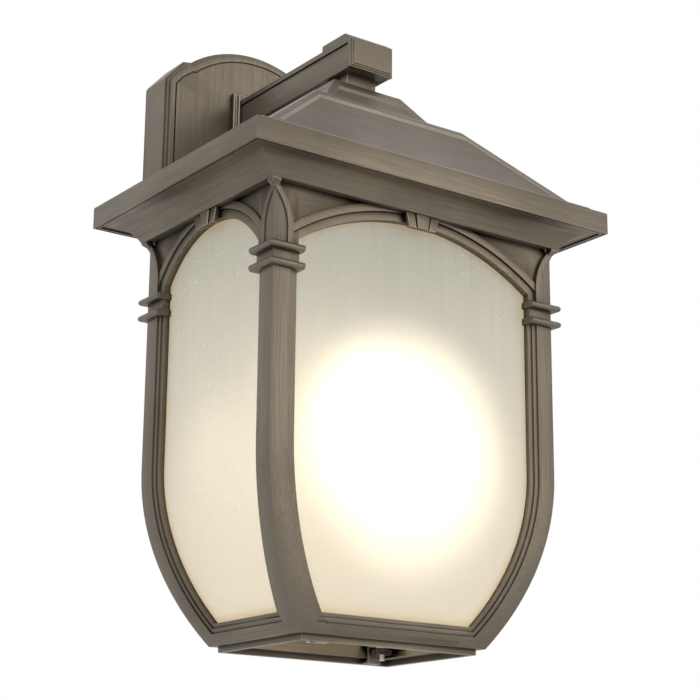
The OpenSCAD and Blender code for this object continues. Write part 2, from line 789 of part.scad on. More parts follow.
// ---------- Arm ----------
module arm() {
    color(bronze) from_wall()
        difference() {
            span([-arm_w / 2, -arm_front, arm_z], [arm_w / 2, -arm_back, arm_z + arm_h]);
            span([-arm_w / 2 + arm_wall, -arm_front + arm_wall, arm_z + arm_wall],
                [arm_w / 2 - arm_wall, -arm_back - end_wall, arm_z + arm_h + eps]);
            translate([0, -reach, 0]) rod(pipe_r + fit, arm_z - eps, arm_z + 10);
            for (x = [-bolt_x, bolt_x])
                translate([x, 0, arm_mid])
                    cross_rod(bolt_r + fit, -arm_back - end_wall - eps, -arm_back + eps);
            translate([0, 0, arm_mid]) cross_rod(cable_r, -arm_back - end_wall - eps, -arm_back + eps);
            for (y = [-arm_back - 4, 1.5 - arm_front])
                translate([0, y, 0]) rod(m3 + fit, lid_screw_z - 0.5, arm_z + arm_h + eps);
        }
}
module arm_lid() {
    color(bronze) from_wall()
        difference() {
            union() {
                span([-arm_w / 2 - lid_over, -arm_front, lid_z],
                    [arm_w / 2 + lid_over, -arm_back, lid_z + lid_h]);
                span([-arm_w / 2 + 2, -arm_front, arm_z + arm_h], [arm_w / 2 - 2, -arm_back, lid_z]);
            }
            translate([0, -arm_back - 4, 0]) rod(m3 + hole_gap, arm_z, lid_z + 10);
            translate([0, -arm_back - 4, 0]) rod(3.2, lid_z + lid_h - 2, lid_z + 10);
            translate([0, 1.5 - arm_front, 0]) rod(m3 + hole_gap, arm_z, lid_z + 10);
        }
}
module arm_lid_screws() {
    color(zinc) from_wall() {
        translate([0, -arm_back - 4, 0]) {
            rod(3, lid_z + lid_h - 2, lid_z + lid_h - 0.2);
            rod(m3, lid_screw_z, lid_z + lid_h - 1);
        }
        translate([0, 1.5 - arm_front, 0]) rod(m3, lid_screw_z, lid_z + lid_h);
    }
}
// End cap: a plain collar, two stepped frames and a low pyramid, with a bevelled hood above
module arm_head() {
    w = arm_w / 2;
    z0 = arm_z;
    z1 = lid_z + lid_h;
    mid = (z0 + z1) / 2;
    h = (z1 - z0) / 2;
    depth = head_front - arm_front;
    color(bronze) from_wall() {
        span([-w - lid_over, -arm_front - depth + 4.4, z0], [w + lid_over, -arm_front, z1]);
        span([-w + 0.6, -arm_front - depth + 3.2, z0 + 1], [w - 0.6, -arm_front - depth + 4.4, z1 - 1]);
        span([-w + 1.6, -arm_front - depth + 2, z0 + 2], [w - 1.6, -arm_front - depth + 3.2, z1 - 2]);
        // pyramid end, drawn on its back and turned to face out
        translate([0, -arm_front - depth + 2, mid]) rotate([90, 0, 0])
            intersection() {
                rotate([90, 0, 0]) linear_extrude(height = 2 * h, center = true)
                    polygon([[-w + 2.6, 0], [w - 2.6, 0], [0, 2]]);
                rotate([90, 0, 90]) linear_extrude(height = 2 * w, center = true)
                    polygon([[-h + 3, 0], [h - 3, 0], [0, 2]]);
            }
        rotate([90, 0, 90]) linear_extrude(height = arm_w + 2 * lid_over - 0.6, center = true)
            polygon([[-hood_back, z1], [-head_front + 4.4, z1], [-head_front + 5.4, z1 + 0.8],
                [-reach - 16, z1 + hood_h], [-hood_back, z1 + hood_h]]);
    }
}
module arm_collar() {
    color(bronze) from_wall()
        difference() {
            union() {
                span([-arm_w / 2 - 4.2, -plate_d - collar_1, arm_z - 6],
                    [arm_w / 2 + 4.2, -plate_d, lid_z + lid_h + 6.5]);
                span([-arm_w / 2 - 2.2, -arm_back, arm_z - 4],
                    [arm_w / 2 + 2.2, -plate_d, lid_z + lid_h + 4.5]);
            }
            for (x = [-bolt_x, bolt_x])
                translate([x, 0, arm_mid]) cross_rod(bolt_r + hole_gap, -arm_back - eps, -plate_d + eps);
            translate([0, 0, arm_mid]) cross_rod(cable_r, -arm_back - eps, -plate_d + eps);
        }
}
module arm_bolts() {
    color(zinc) from_wall()
        for (x = [-bolt_x, bolt_x])
            translate([x, 0, arm_mid]) {
                cross_rod(bolt_r, -arm_back - end_wall + 1, -plate_d + plate_wall + 1);
                cross_rod(4.2, -plate_d + plate_wall, -plate_d + plate_wall + 3.4);
            }
}

// ---------- Wall plate ----------
// Outline of the plate, in from its edge by a: sides, ogee shoulders and an arched top
module plate_outline(a) {
    w = plate_w / 2 - a;
    top = plate_shoulder + plate_rise;
    arc_z = top - arc_r;
    step_z = arc_z + sqrt(pow(arc_r, 2) - pow(arc_half, 2));
    k = a * 0.42;
    shoulder = [[w, plate_shoulder - k], [w - 2.4, plate_shoulder + 3 - k], [w - 6, plate_shoulder + 7 - k],
        [arc_half + shoulder_out - a * 0.8, step_z - 1.4 - a], [arc_half - a * 0.4, step_z - 0.4 - a]];
    low = plate_low + a;
    polygon(concat([[-w, low], [w, low]], shoulder, [for (i = [4:-1:0]) [-shoulder[i][0], shoulder[i][1]]]));
    intersection() {
        translate([0, arc_z]) circle(r = arc_r - a, $fn = 360);
        translate([-arc_half + a * 0.4, low]) square([2 * (arc_half - a * 0.4), top - low]);
    }
}
// Layer of the plate between two distances from the wall
module plate_layer(a, y0, y1)
    translate([0, -(y0 + y1) / 2, 0]) front_view(y1 - y0) plate_outline(a);
module back_plate() {
    color(bronze) from_wall()
        difference() {
            union() {
                plate_layer(0, gasket_t, plate_d - 3.6);
                plate_layer(1.6, gasket_t, plate_d - 1.8);
                difference() {
                    plate_layer(3.4, gasket_t, plate_d);
                    plate_layer(7.2, plate_d - 1.2, plate_d + eps);
                }
                plate_layer(8.4, gasket_t, plate_d);
            }
            difference() {
                plate_layer(plate_wall, gasket_t - eps, plate_d - plate_wall);
                // hooks that hang on the bracket's upper flange
                for (x = [-20, 20])
                    translate([x, -18, 0]) block(5, 10, bracket_top + seam, bracket_top + 30);
            }
            for (x = [-bolt_x, bolt_x])
                translate([x, 0, arm_mid])
                    cross_rod(bolt_r + hole_gap, -plate_d - eps, -plate_d + plate_wall + 3);
            translate([0, 0, arm_mid]) cross_rod(cable_r, -plate_d - eps, -plate_d + plate_wall + 3);
            for (x = [-fix_x, fix_x])
                translate([x, -fix_y, 0]) rod(m4 + hole_gap, plate_low - eps, plate_low + plate_wall + 1);
        }
}
module wall_gasket() {
    color([0.12, 0.12, 0.12]) from_wall()
        difference() {
            plate_layer(0.6, 0, gasket_t);
            plate_layer(plate_wall + 1, -eps, gasket_t + eps);
        }
}
module slot_cut(x)
    translate([x, 0, drop]) {
        for (s = [-1, 1])
            translate([s * (slot_l / 2 - slot_r), 0, 0]) cross_rod(slot_r, -bracket_t - eps, eps);
        span([-slot_l / 2 + slot_r, -bracket_t - eps, -slot_r], [slot_l / 2 - slot_r, eps, slot_r]);
    }
module mounting_bracket() {
    color(zinc) from_wall()
        difference() {
            union() {
                span([-bracket_w / 2, -bracket_t, bracket_low], [bracket_w / 2, 0, bracket_top]);
                span([-bracket_ear / 2, -bracket_t, drop - ear_h / 2],
                    [bracket_ear / 2, 0, drop + ear_h / 2]);
                span([-bracket_w / 2, -20, bracket_low], [bracket_w / 2, 0, bracket_low + bracket_t]);
                span([-bracket_w / 2, -14, bracket_top - bracket_t], [bracket_w / 2, 0, bracket_top]);
            }
            for (s = [-1, 1]) slot_cut(s * box_span / 2);
            translate([0, 0, drop]) cross_rod(14, -bracket_t - eps, eps);
            for (x = [-fix_x, fix_x])
                translate([x, -fix_y, 0]) rod(m4 + fit, bracket_low - eps, bracket_low + 5);
            translate([20, 0, drop - 28]) cross_rod(m4 + fit, -bracket_t - eps, eps);
        }
}
module ground_screw() {
    color([0.15, 0.45, 0.2]) from_wall() translate([20, 0, drop - 28]) {
        cross_rod(m4, -bracket_t - 1, 0);
        cross_rod(4, -bracket_t - 2.6, -bracket_t);
    }
}
module plate_screws() {
    color(dark_bronze) from_wall()
        for (x = [-fix_x, fix_x])
            translate([x, -fix_y, 0]) {
                rod(3.6, plate_low - 2.4, plate_low);
                rod(m4, plate_low - 1, bracket_low + bracket_t + 2);
            }
}

// ---------- Lamp holder, bulb and wires ----------
module socket_cap() {
    color(zinc) on_axis()
        difference() {
            union() {
                rod(holder_r - 1.5, holder_top, holder_top + cap_h - 2);
                rod(pipe_r + 4, holder_top, holder_top + cap_h + 4);
            }
            rod(pipe_r + fit, holder_top + 3, holder_top + 20);
            rod(pipe_r - pipe_wall, holder_top - eps, holder_top + 20);
        }
}
module socket_body() {
    color([0.93, 0.92, 0.88]) on_axis()
        difference() {
            rod(holder_r, holder_low, holder_top);
            rod(shell_out + fit, holder_low - eps, tip_z + tip_h + contact_gap + 1);
            for (s = [-1, 1]) translate([s * 1.3, 0, 0]) rod(1, holder_top - 20, holder_top + eps);
        }
}
module socket_shell() {
    color(brass_c) on_axis()
        difference() {
            rod(shell_out, holder_low, tip_z + 1);
            rod(shell_in, holder_low - eps, tip_z + 2);
        }
}
module socket_contact() {
    color(brass_c) on_axis() rod(5, tip_z + tip_h + contact_gap, tip_z + tip_h + contact_gap + 1);
}
module bulb_contact() {
    color(zinc) on_axis() {
        rod(tip_r, tip_z + 0.1, tip_z + tip_h);
        rod(2, tip_z - 5, tip_z + 0.5);
    }
}
module bulb_base() {
    color(zinc) on_axis()
        rotate_extrude() polygon([[2 + fit, base_low + 8], [base_r - 1, base_low + 8], [base_r - 1, base_low],
            [base_r, base_low], [base_r, base_low + base_h], [tip_r + 1, tip_z], [2 + fit, tip_z]]);
}
// Half outline of the bulb, in from its surface by a: a ball and a neck that leaves it at an angle
module bulb_outline(a) {
    neck_r = base_r - 1.2 - a;
    leave = 30;
    intersection() {
        union() {
            translate([0, bulb_z]) circle(r = bulb_r - a);
            polygon([[0, bulb_z], (bulb_r - a) * [cos(leave), sin(leave)] + [0, bulb_z],
                [neck_r, base_low - 4], [neck_r, base_low + 7.8 - a], [0, base_low + 7.8 - a]]);
        }
        translate([0, bulb_z - 40]) square([60, 200]);
    }
}
module bulb_glass() {
    color([1, 1, 0.97]) on_axis() rotate_extrude()
        difference() {
            bulb_outline(0);
            bulb_outline(bulb_wall);
        }
}

// Round wire of radius r through the points p: one ring of corners at each point
function unit(v) = v / norm(v);
function tangent(p, i) =
    unit(unit(p[min(i + 1, len(p) - 1)] - p[min(i, len(p) - 2)]) + unit(p[max(i, 1)] - p[max(i - 1, 0)]));
// Ring of corners round the point i, squared to the wire and started from the X axis
function wire_ring(p, i, r) =
    let (t = tangent(p, i), u = unit([1, 0, 0] - t[0] * t), v = cross(t, u), turn = 360 / wire_sides)
        [for (k = [0:wire_sides - 1]) p[i] + r * (cos(k * turn) * u + sin(k * turn) * v)];
module wire(p, r) {
    n = wire_sides;
    last = len(p) - 1;
    corners = [for (i = [0:last], c = wire_ring(p, i, r)) c];
    sides = [for (i = [0:last - 1], k = [0:n - 1], half = [0, 1])
        half == 0 ? [(i + 1) * n + k, i * n + (k + 1) % n, i * n + k]
                  : [(i + 1) * n + k, (i + 1) * n + (k + 1) % n, i * n + (k + 1) % n]];
    ends = [[for (k = [0:n - 1]) k], [for (k = [n - 1:-1:0]) last * n + k]];
    polyhedron(points = corners, faces = concat(sides, ends));
}
// A wire from the point start, given from the lantern's axis, along the arm at lift above the others,
// through the collar and down to the connector at to_x
module supply_wire(start, lift, to_x) {
    x = start[0];
    y = start[1] - reach;
    top = wire_top + lift;
    mid = arm_mid + lift;
    wire([[x, y, start[2]], [x, y, top - 4], [x, y + 1.5, top - 1], [x, y + 5, top],
        [x, -arm_back - end_wall - 6, top], [x, -arm_back - end_wall - 1, mid],
        [x, -plate_d + plate_wall + 3, mid], [x, -plate_d + plate_wall + 7, mid - 2],
        [to_x * 0.8, -16, arm_mid - 10], [to_x, -14, arm_mid - 18], [to_x, -14, drop - 22]], wire_r);
}
module wire_black() { color([0.08, 0.08, 0.08]) from_wall() supply_wire([-1.3, 0, holder_top - 4], 0, -14); }
module wire_white() { color([0.95, 0.95, 0.95]) from_wall() supply_wire([1.3, 0, holder_top - 4], 0, 14); }
module wire_ground() { color([0.72, 0.45, 0.2]) from_wall() supply_wire([0, 13, arm_z + arm_wall], -2.2, 0); }
module wire_connectors() {
    color([0.85, 0.35, 0.15]) from_wall()
        for (x = [-14, 0, 14])
            translate([x, -14, drop - 22])
                rotate_extrude() polygon([[0, -20], [3.6, -20], [4.6, -18], [6, 0], [0, 0]]);
}

wall_gasket();
mounting_bracket();
ground_screw();
plate_screws();
back_plate();
arm_collar();
arm_bolts();
arm();
arm_lid();
arm_lid_screws();
arm_head();
neck();
lamp_pipe();
arm_lock_nut();
roof_upper();
roof_lower();
cornice();
roof_strap();
strap_lock_nut();
post_front_left();
post_front_right();
post_rear_left();
post_rear_right();
arch_front();
arch_rear();
arch_left();
arch_right();
keystone_front();
keystone_rear();
keystone_left();
keystone_right();
bottom_rail();
base_ring();
ring_stud_rear();
ring_stud_front();
ring_washer_rear();
ring_washer_front();
thumb_nut_rear();
thumb_nut_front();
glass_front();
glass_rear();
glass_left();
glass_right();
glass_clips();
clip_screws();
cage_screws();
socket_cap();
socket_body();
socket_shell();
socket_contact();
bulb_contact();
bulb_base();
bulb_glass();
wire_black();
wire_white();
wire_ground();
wire_connectors();
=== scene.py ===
# Outdoor wall lantern in brushed antique bronze with bent, seeded, frosted glass.
import json
import math

import bmesh
import bpy
from mathutils import Matrix, Vector
from mathutils.bvhtree import BVHTree


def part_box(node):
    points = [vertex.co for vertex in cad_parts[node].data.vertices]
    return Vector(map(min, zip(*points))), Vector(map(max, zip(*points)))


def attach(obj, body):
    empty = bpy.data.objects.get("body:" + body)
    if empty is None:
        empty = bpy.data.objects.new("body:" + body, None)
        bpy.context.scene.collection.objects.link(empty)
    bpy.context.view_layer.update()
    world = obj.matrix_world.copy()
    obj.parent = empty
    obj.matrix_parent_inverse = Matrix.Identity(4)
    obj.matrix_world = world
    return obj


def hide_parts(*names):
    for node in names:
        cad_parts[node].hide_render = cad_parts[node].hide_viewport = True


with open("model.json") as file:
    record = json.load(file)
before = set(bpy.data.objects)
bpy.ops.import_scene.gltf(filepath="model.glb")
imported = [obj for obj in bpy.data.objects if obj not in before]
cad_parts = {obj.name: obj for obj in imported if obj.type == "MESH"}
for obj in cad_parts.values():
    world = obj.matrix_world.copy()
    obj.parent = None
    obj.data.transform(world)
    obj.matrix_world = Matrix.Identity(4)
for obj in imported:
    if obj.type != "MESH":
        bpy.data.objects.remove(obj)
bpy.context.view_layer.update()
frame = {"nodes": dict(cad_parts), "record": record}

MM = 0.001
SEED = 11

# Mesh work: distance that merges doubled points, angle that still counts as flat, angle that counts
# as an edge to round, and the gap within which two castings are taken to touch
MERGE = 0.002 * MM
FLAT = math.radians(0.02)
SHARP = math.radians(28)
TOUCH = 0.05 * MM

# ---------- Places read from the frame ----------
nodes = frame["nodes"]
body_of_node = {n: b for b, ns in frame["record"]["behaviour"]["bodies"].items() for n in ns}
slot_of_node = {s["node"]: s["material_slot"] for s in frame["record"]["subparts"]}


def middle(node):
    low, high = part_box(node)
    return (Vector(low) + Vector(high)) / 2


AXIS = Vector((middle("lamp_pipe").x, middle("lamp_pipe").y, 0))
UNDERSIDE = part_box("base_ring")[0][2]
GLASS_LOW, GLASS_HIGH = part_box("glass_front")[0][2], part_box("glass_front")[1][2]
BULB = Vector((AXIS.x, AXIS.y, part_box("bulb_glass")[0][2] + 30 * MM))

# ---------- Camera ----------
VIEW_AZIMUTH = math.radians(-35.807)
VIEW_ELEVATION = math.radians(-15.751)
VIEW_ROLL = math.radians(0.485)
VIEW_DISTANCE = 1.1974
VIEW_LENS = 93.91
LOOK_AT = AXIS + Vector((0.3 * MM, 0, UNDERSIDE + 198 * MM))


def add_camera():
    back = Vector((math.sin(VIEW_AZIMUTH) * math.cos(VIEW_ELEVATION),
                   -math.cos(VIEW_AZIMUTH) * math.cos(VIEW_ELEVATION),
                   math.sin(VIEW_ELEVATION)))
    right = Vector((0, 0, 1)).cross(back).normalized()
    up = back.cross(right)
    turned_right = right * math.cos(VIEW_ROLL) + up * math.sin(VIEW_ROLL)
    turned_up = back.cross(turned_right)
    cam = bpy.data.objects.new("camera", bpy.data.cameras.new("camera"))
    cam.data.lens = VIEW_LENS
    cam.data.sensor_width = 36
    cam.data.clip_start = 0.05
    place = Matrix((turned_right, turned_up, back)).transposed().to_4x4()
    place.translation = LOOK_AT + back * VIEW_DISTANCE
    cam.matrix_world = place
    bpy.context.collection.objects.link(cam)
    bpy.context.scene.camera = cam


# ---------- Light and floor ----------
def area_light(name, place, aim, size, power, colour):
    data = bpy.data.lights.new(name, "AREA")
    data.shape = "DISK"
    data.size = size
    data.energy = power
    data.color = colour
    lamp = bpy.data.objects.new(name, data)
    lamp.location = place
    lamp.rotation_euler = (Vector(aim) - Vector(place)).to_track_quat("-Z", "Y").to_euler()
    bpy.context.collection.objects.link(lamp)


def add_studio():
    world = bpy.data.worlds.new("studio")
    bpy.context.scene.world = world
    world.use_nodes = True
    world.node_tree.nodes["Background"].inputs["Color"].default_value = (1.0, 1.0, 1.0, 1)
    world.node_tree.nodes["Background"].inputs["Strength"].default_value = 1.0
    bpy.context.scene.view_settings.view_transform = "Standard"
    aim = AXIS + Vector((0, 0, -0.15))
    area_light("key", (1.1, -1.9, 0.2), aim, 1.6, 10, (1.0, 0.93, 0.82))
    area_light("fill", (-1.8, -0.9, 0.4), aim, 1.4, 7, (0.86, 0.93, 1.0))
    mesh = bpy.data.meshes.new("floor")
    s, z = 4.0, UNDERSIDE - 1.1
    mesh.from_pydata([(-s, -s, z), (s, -s, z), (s, s, z), (-s, s, z)], [], [(0, 1, 2, 3)])
    floor = bpy.data.objects.new("floor", mesh)
    bpy.context.collection.objects.link(floor)
    mat, shader, _ = new_material("pale_floor")
    shader.inputs["Base Color"].default_value = (0.86, 0.86, 0.85, 1)
    shader.inputs["Roughness"].default_value = 0.8
    mesh.materials.append(mat)


# ---------- Materials ----------
def new_material(name):
    mat = bpy.data.materials.new(name)
    mat.use_nodes = True
    tree = mat.node_tree
    return mat, tree.nodes["Principled BSDF"], tree


def new_group(name, ins, outs):
    tree = bpy.data.node_groups.new(name, "ShaderNodeTree")
    for label, kind, value in ins:
        s = tree.interface.new_socket(label, in_out="INPUT", socket_type=kind)
        s.default_value = value
    for label, kind in outs:
        tree.interface.new_socket(label, in_out="OUTPUT", socket_type=kind)
    return tree, tree.nodes.new("NodeGroupInput"), tree.nodes.new("NodeGroupOutput")


def remap(tree, value, old=(0.0, 1.0), new=(0.0, 1.0), curve="LINEAR"):
    """A value moved from one range to another."""
    node = tree.nodes.new("ShaderNodeMapRange")
    node.interpolation_type = curve
    for label, number in zip(("From Min", "From Max", "To Min", "To Max"), (*old, *new)):
        node.inputs[label].default_value = number
    tree.links.new(value, node.inputs["Value"])
    return node.outputs[0]


def grain_group():
    """Fine brush lines, slow along the stroke and quick across it: a line mask and a height."""
    ins = [("Across", "NodeSocketVector", (1, 1, 1)), ("Contrast", "NodeSocketFloat", 1.0)]
    outs = [("Lines", "NodeSocketFloat"), ("Height", "NodeSocketFloat")]
    tree, gi, go = new_group("brush_grain", ins, outs)
    n, link = tree.nodes, tree.links.new
    place = n.new("ShaderNodeTexCoord")
    stretch = n.new("ShaderNodeVectorMath")
    stretch.operation = "MULTIPLY"
    link(place.outputs["Object"], stretch.inputs[0])
    link(gi.outputs["Across"], stretch.inputs[1])
    fine = n.new("ShaderNodeTexNoise")
    fine.inputs["Scale"].default_value = 1.0
    fine.inputs["Detail"].default_value = 4.0
    fine.inputs["Roughness"].default_value = 0.7
    link(stretch.outputs[0], fine.inputs["Vector"])
    spread = remap(tree, fine.outputs["Fac"], (0.34, 0.66))
    scale = n.new("ShaderNodeMath")
    scale.operation = "MULTIPLY"
    link(spread, scale.inputs[0])
    link(gi.outputs["Contrast"], scale.inputs[1])
    link(scale.outputs[0], go.inputs["Lines"])
    link(fine.outputs["Fac"], go.inputs["Height"])
    return tree


def tone_group():
    """Slow change of tone over the casting, as a hand-rubbed finish has."""
    ins = [("Scale", "NodeSocketFloat", 20.0)]
    tree, gi, go = new_group("rubbed_tone", ins, [("Tone", "NodeSocketFloat")])
    n, link = tree.nodes, tree.links.new
    place = n.new("ShaderNodeTexCoord")
    cloud = n.new("ShaderNodeTexNoise")
    cloud.inputs["Detail"].default_value = 2.0
    link(place.outputs["Object"], cloud.inputs["Vector"])
    link(gi.outputs["Scale"], cloud.inputs["Scale"])
    link(cloud.outputs["Fac"], go.inputs["Tone"])
    return tree


def occlusion_shade_group():
    """Painted shade in grooves and inside corners, placed by an occlusion test."""
    ins = [("Reach", "NodeSocketFloat", 0.004), ("Depth", "NodeSocketFloat", 1.0)]
    tree, gi, go = new_group("painted_groove_shade", ins, [("Dark", "NodeSocketFloat")])
    n, link = tree.nodes, tree.links.new
    shade = n.new("ShaderNodeAmbientOcclusion")
    shade.samples = 6
    shade.only_local = False
    link(gi.outputs["Reach"], shade.inputs["Distance"])
    flip = remap(tree, shade.outputs["AO"], (0.35, 0.85), (1.0, 0.0))
    scale = n.new("ShaderNodeMath")
    scale.operation = "MULTIPLY"
    link(flip, scale.inputs[0])
    link(gi.outputs["Depth"], scale.inputs[1])
    link(scale.outputs[0], go.inputs["Dark"])
    return tree


GRAIN = grain_group()
TONE = tone_group()
OCCLUSION_SHADE = occlusion_shade_group()


def place_group(tree, group, **values):
    node = tree.nodes.new("ShaderNodeGroup")
    node.node_tree = group
    for label, value in values.items():
        node.inputs[label].default_value = value
    return node


def mix_colour(tree, factor, a, b):
    """Mix node between a and b, each a colour or a socket."""
    mix = tree.nodes.new("ShaderNodeMix")
    mix.data_type = "RGBA"
    for socket, value in ((mix.inputs["Factor"], factor), (mix.inputs[6], a), (mix.inputs[7], b)):
        if isinstance(value, bpy.types.NodeSocket):
            tree.links.new(value, socket)
        elif isinstance(value, (int, float)):
            socket.default_value = value
        else:
            socket.default_value = (*value, 1)
    return mix.outputs[2]


def add_bump(tree, shader, height, strength, distance):
    bump = tree.nodes.new("ShaderNodeBump")
    bump.inputs["Strength"].default_value = strength
    bump.inputs["Distance"].default_value = distance
    tree.links.new(height, bump.inputs["Height"])
    tree.links.new(bump.outputs[0], shader.inputs["Normal"])


def bronze(name, across, base, light, dark, rough=0.42, grooves=1.0):
    """Brushed, rubbed bronze with painted shade in its grooves and inside corners: across gives the brush
    frequency along each axis.
    """
    mat, shader, tree = new_material(name)
    grain = place_group(tree, GRAIN, Across=across, Contrast=0.6)
    tone = place_group(tree, TONE, Scale=14.0)
    painted_shade = place_group(tree, OCCLUSION_SHADE, Reach=0.006, Depth=grooves)
    lined = mix_colour(tree, grain.outputs["Lines"], base, light)
    shade = remap(tree, tone.outputs["Tone"], (0.35, 0.75), (0.0, 0.5))
    toned = mix_colour(tree, shade, lined, [c * 0.62 for c in base])
    # Painted shade: grooves and inside corners darkened by occlusion
    final = mix_colour(tree, painted_shade.outputs["Dark"], toned, dark)
    tree.links.new(final, shader.inputs["Base Color"])
    shader.inputs["Metallic"].default_value = 0.85
    gloss = remap(tree, grain.outputs["Lines"], new=(rough + 0.08, rough - 0.08))
    tree.links.new(gloss, shader.inputs["Roughness"])
    add_bump(tree, shader, grain.outputs["Height"], 0.12, 0.4 * MM)
    return mat


def plain(name, colour, rough, metal=0.0, speck=0.12, scale=180.0, bump=0.08, coat=0.0):
    """Metal, plastic or ceramic with a faint mottle and a matching bump."""
    mat, shader, tree = new_material(name)
    tone = place_group(tree, TONE, Scale=scale)
    tree.links.new(mix_colour(tree, tone.outputs["Tone"], [c * (1 - speck) for c in colour],
                              [min(1, c * (1 + speck)) for c in colour]), shader.inputs["Base Color"])
    gloss = remap(tree, tone.outputs["Tone"], new=(rough * 0.8, min(1, rough * 1.2)))
    tree.links.new(gloss, shader.inputs["Roughness"])
    add_bump(tree, shader, tone.outputs["Tone"], bump, 0.3 * MM)
    shader.inputs["Metallic"].default_value = metal
    shader.inputs["Coat Weight"].default_value = coat
    return mat


# Brush frequency across and along the stroke, and the colours of faces, of rubbed edges with a painted
# highlight, and of the painted shade in grooves
FINE = 1500.0
SLOW = 22.0
BRONZE_BASE = (0.140, 0.117, 0.089)
BRONZE_LIGHT = (0.225, 0.194, 0.153)
# Colour of the painted shade in grooves and inside corners
BRONZE_PAINTED_SHADE = (0.020, 0.015, 0.010)
# Edge colours: rubbed wear, made lighter still with a painted highlight
EDGE_BASE = (0.30, 0.258, 0.195)
EDGE_LIGHT = (0.44, 0.385, 0.30)
STROKES = {"upright": (FINE, FINE, SLOW), "level": (SLOW, SLOW, FINE), "along_arm": (FINE, SLOW, FINE)}


def bronze_pair(stroke):
    """The finish of the faces and of their rubbed edges, for one brushing direction; the edges are lighter,
    rubbed wear with a painted highlight on it.
    """
    face = bronze("bronze_" + stroke, STROKES[stroke], BRONZE_BASE, BRONZE_LIGHT, BRONZE_PAINTED_SHADE)
    edge = bronze("bronze_edge_wear_highlight_" + stroke, STROKES[stroke], EDGE_BASE, EDGE_LIGHT, BRONZE_PAINTED_SHADE, 0.34, 0.6)
    return face, edge


BRONZE = {stroke: bronze_pair(stroke) for stroke in STROKES}

# Painted glow of the glass from its foot to its top, and the painted bright round patch of bulb light on it
GLASS_GLOW = [(0.0, (0.88, 0.78, 0.60)), (0.3, (0.78, 0.72, 0.60)), (0.65, (0.50, 0.51, 0.46)),
              (1.0, (0.27, 0.30, 0.28))]
GLOW_MIDDLE = BULB - Vector((0, 0, 16 * MM))
GLOW_REACH = (0.064, 0.116)
GLOW_COLOUR = (2.2, 1.98, 1.6)


def ramp_colours(tree, stops):
    """Colour ramp through the given positions and colours."""
    ramp = tree.nodes.new("ShaderNodeValToRGB")
    elements = ramp.color_ramp.elements
    elements[0].position, elements[1].position = stops[0][0], stops[-1][0]
    for at, _ in stops[1:-1]:
        elements.new(at)
    for element, (_, colour) in zip(elements, stops):
        element.color = (*colour, 1)
    return ramp


def frosted_glass():
    """Etched glass with painted light: a painted glow, cream low down and grey-green at the top, with a
    painted bright patch of bulb light; painted amber shade beside the frame; faintly streaked.
    """
    mat, shader, tree = new_material("frosted_glass")
    n, link = tree.nodes, tree.links.new
    place = n.new("ShaderNodeTexCoord")
    split = n.new("ShaderNodeSeparateXYZ")
    link(place.outputs["Object"], split.inputs[0])
    glow = ramp_colours(tree, GLASS_GLOW)
    link(remap(tree, split.outputs["Z"], (GLASS_LOW, GLASS_HIGH)), glow.inputs["Fac"])
    drag = place_group(tree, GRAIN, Across=(420.0, 420.0, 7.0), Contrast=0.16)
    streaked = mix_colour(tree, drag.outputs["Lines"], glow.outputs["Color"], (1.0, 1.0, 0.96))
    # Painted amber shade beside the frame, placed by the occlusion test, in both the glow and the base
    # colour
    edge = place_group(tree, OCCLUSION_SHADE, Reach=0.012, Depth=0.55)
    painted_amber_shade = mix_colour(tree, edge.outputs["Dark"], streaked, (0.62, 0.44, 0.20))
    # Painted bright patch of bulb light, round a fixed point below the bulb
    away = n.new("ShaderNodeVectorMath")
    away.operation = "DISTANCE"
    away.inputs[1].default_value = GLOW_MIDDLE
    link(place.outputs["Object"], away.inputs[0])
    near = remap(tree, away.outputs["Value"], GLOW_REACH, (1.0, 0.0), "SMOOTHERSTEP")
    link(mix_colour(tree, near, painted_amber_shade, GLOW_COLOUR), shader.inputs["Emission Color"])
    # Base colour: painted amber shade beside the frame
    link(mix_colour(tree, edge.outputs["Dark"], (0.42, 0.43, 0.41), (0.42, 0.32, 0.17)),
         shader.inputs["Base Color"])
    # Painted glow: the glass emits light though it is no lamp
    shader.inputs["Emission Strength"].default_value = 0.36
    shader.inputs["Transmission Weight"].default_value = 0.7
    shader.inputs["Roughness"].default_value = 0.68
    shader.inputs["IOR"].default_value = 1.45
    ripple = n.new("ShaderNodeTexNoise")
    ripple.inputs["Scale"].default_value = 60
    link(place.outputs["Object"], ripple.inputs["Vector"])
    add_bump(tree, shader, ripple.outputs["Fac"], 0.15, 0.5 * MM)
    return mat


def bulb_light():
    mat, shader, tree = new_material("bulb_glass")
    tone = place_group(tree, TONE, Scale=60.0)
    warm = mix_colour(tree, tone.outputs["Tone"], (1.0, 0.88, 0.72), (1.0, 0.94, 0.82))
    tree.links.new(warm, shader.inputs["Base Color"])
    tree.links.new(warm, shader.inputs["Emission Color"])
    shader.inputs["Emission Strength"].default_value = 9.0
    shader.inputs["Roughness"].default_value = 0.5
    return mat


def seed_glint():
    mat, shader, tree = new_material("glass_seed")
    tone = place_group(tree, TONE, Scale=300.0)
    # Seeds painted as pale glints
    pale = mix_colour(tree, tone.outputs["Tone"], (0.80, 0.79, 0.70), (1.0, 1.0, 0.97))
    tree.links.new(pale, shader.inputs["Base Color"])
    tree.links.new(pale, shader.inputs["Emission Color"])
    # Painted glint: the seeds glow faintly though they are no lamp
    shader.inputs["Emission Strength"].default_value = 0.25
    shader.inputs["Roughness"].default_value = 0.3
    return mat


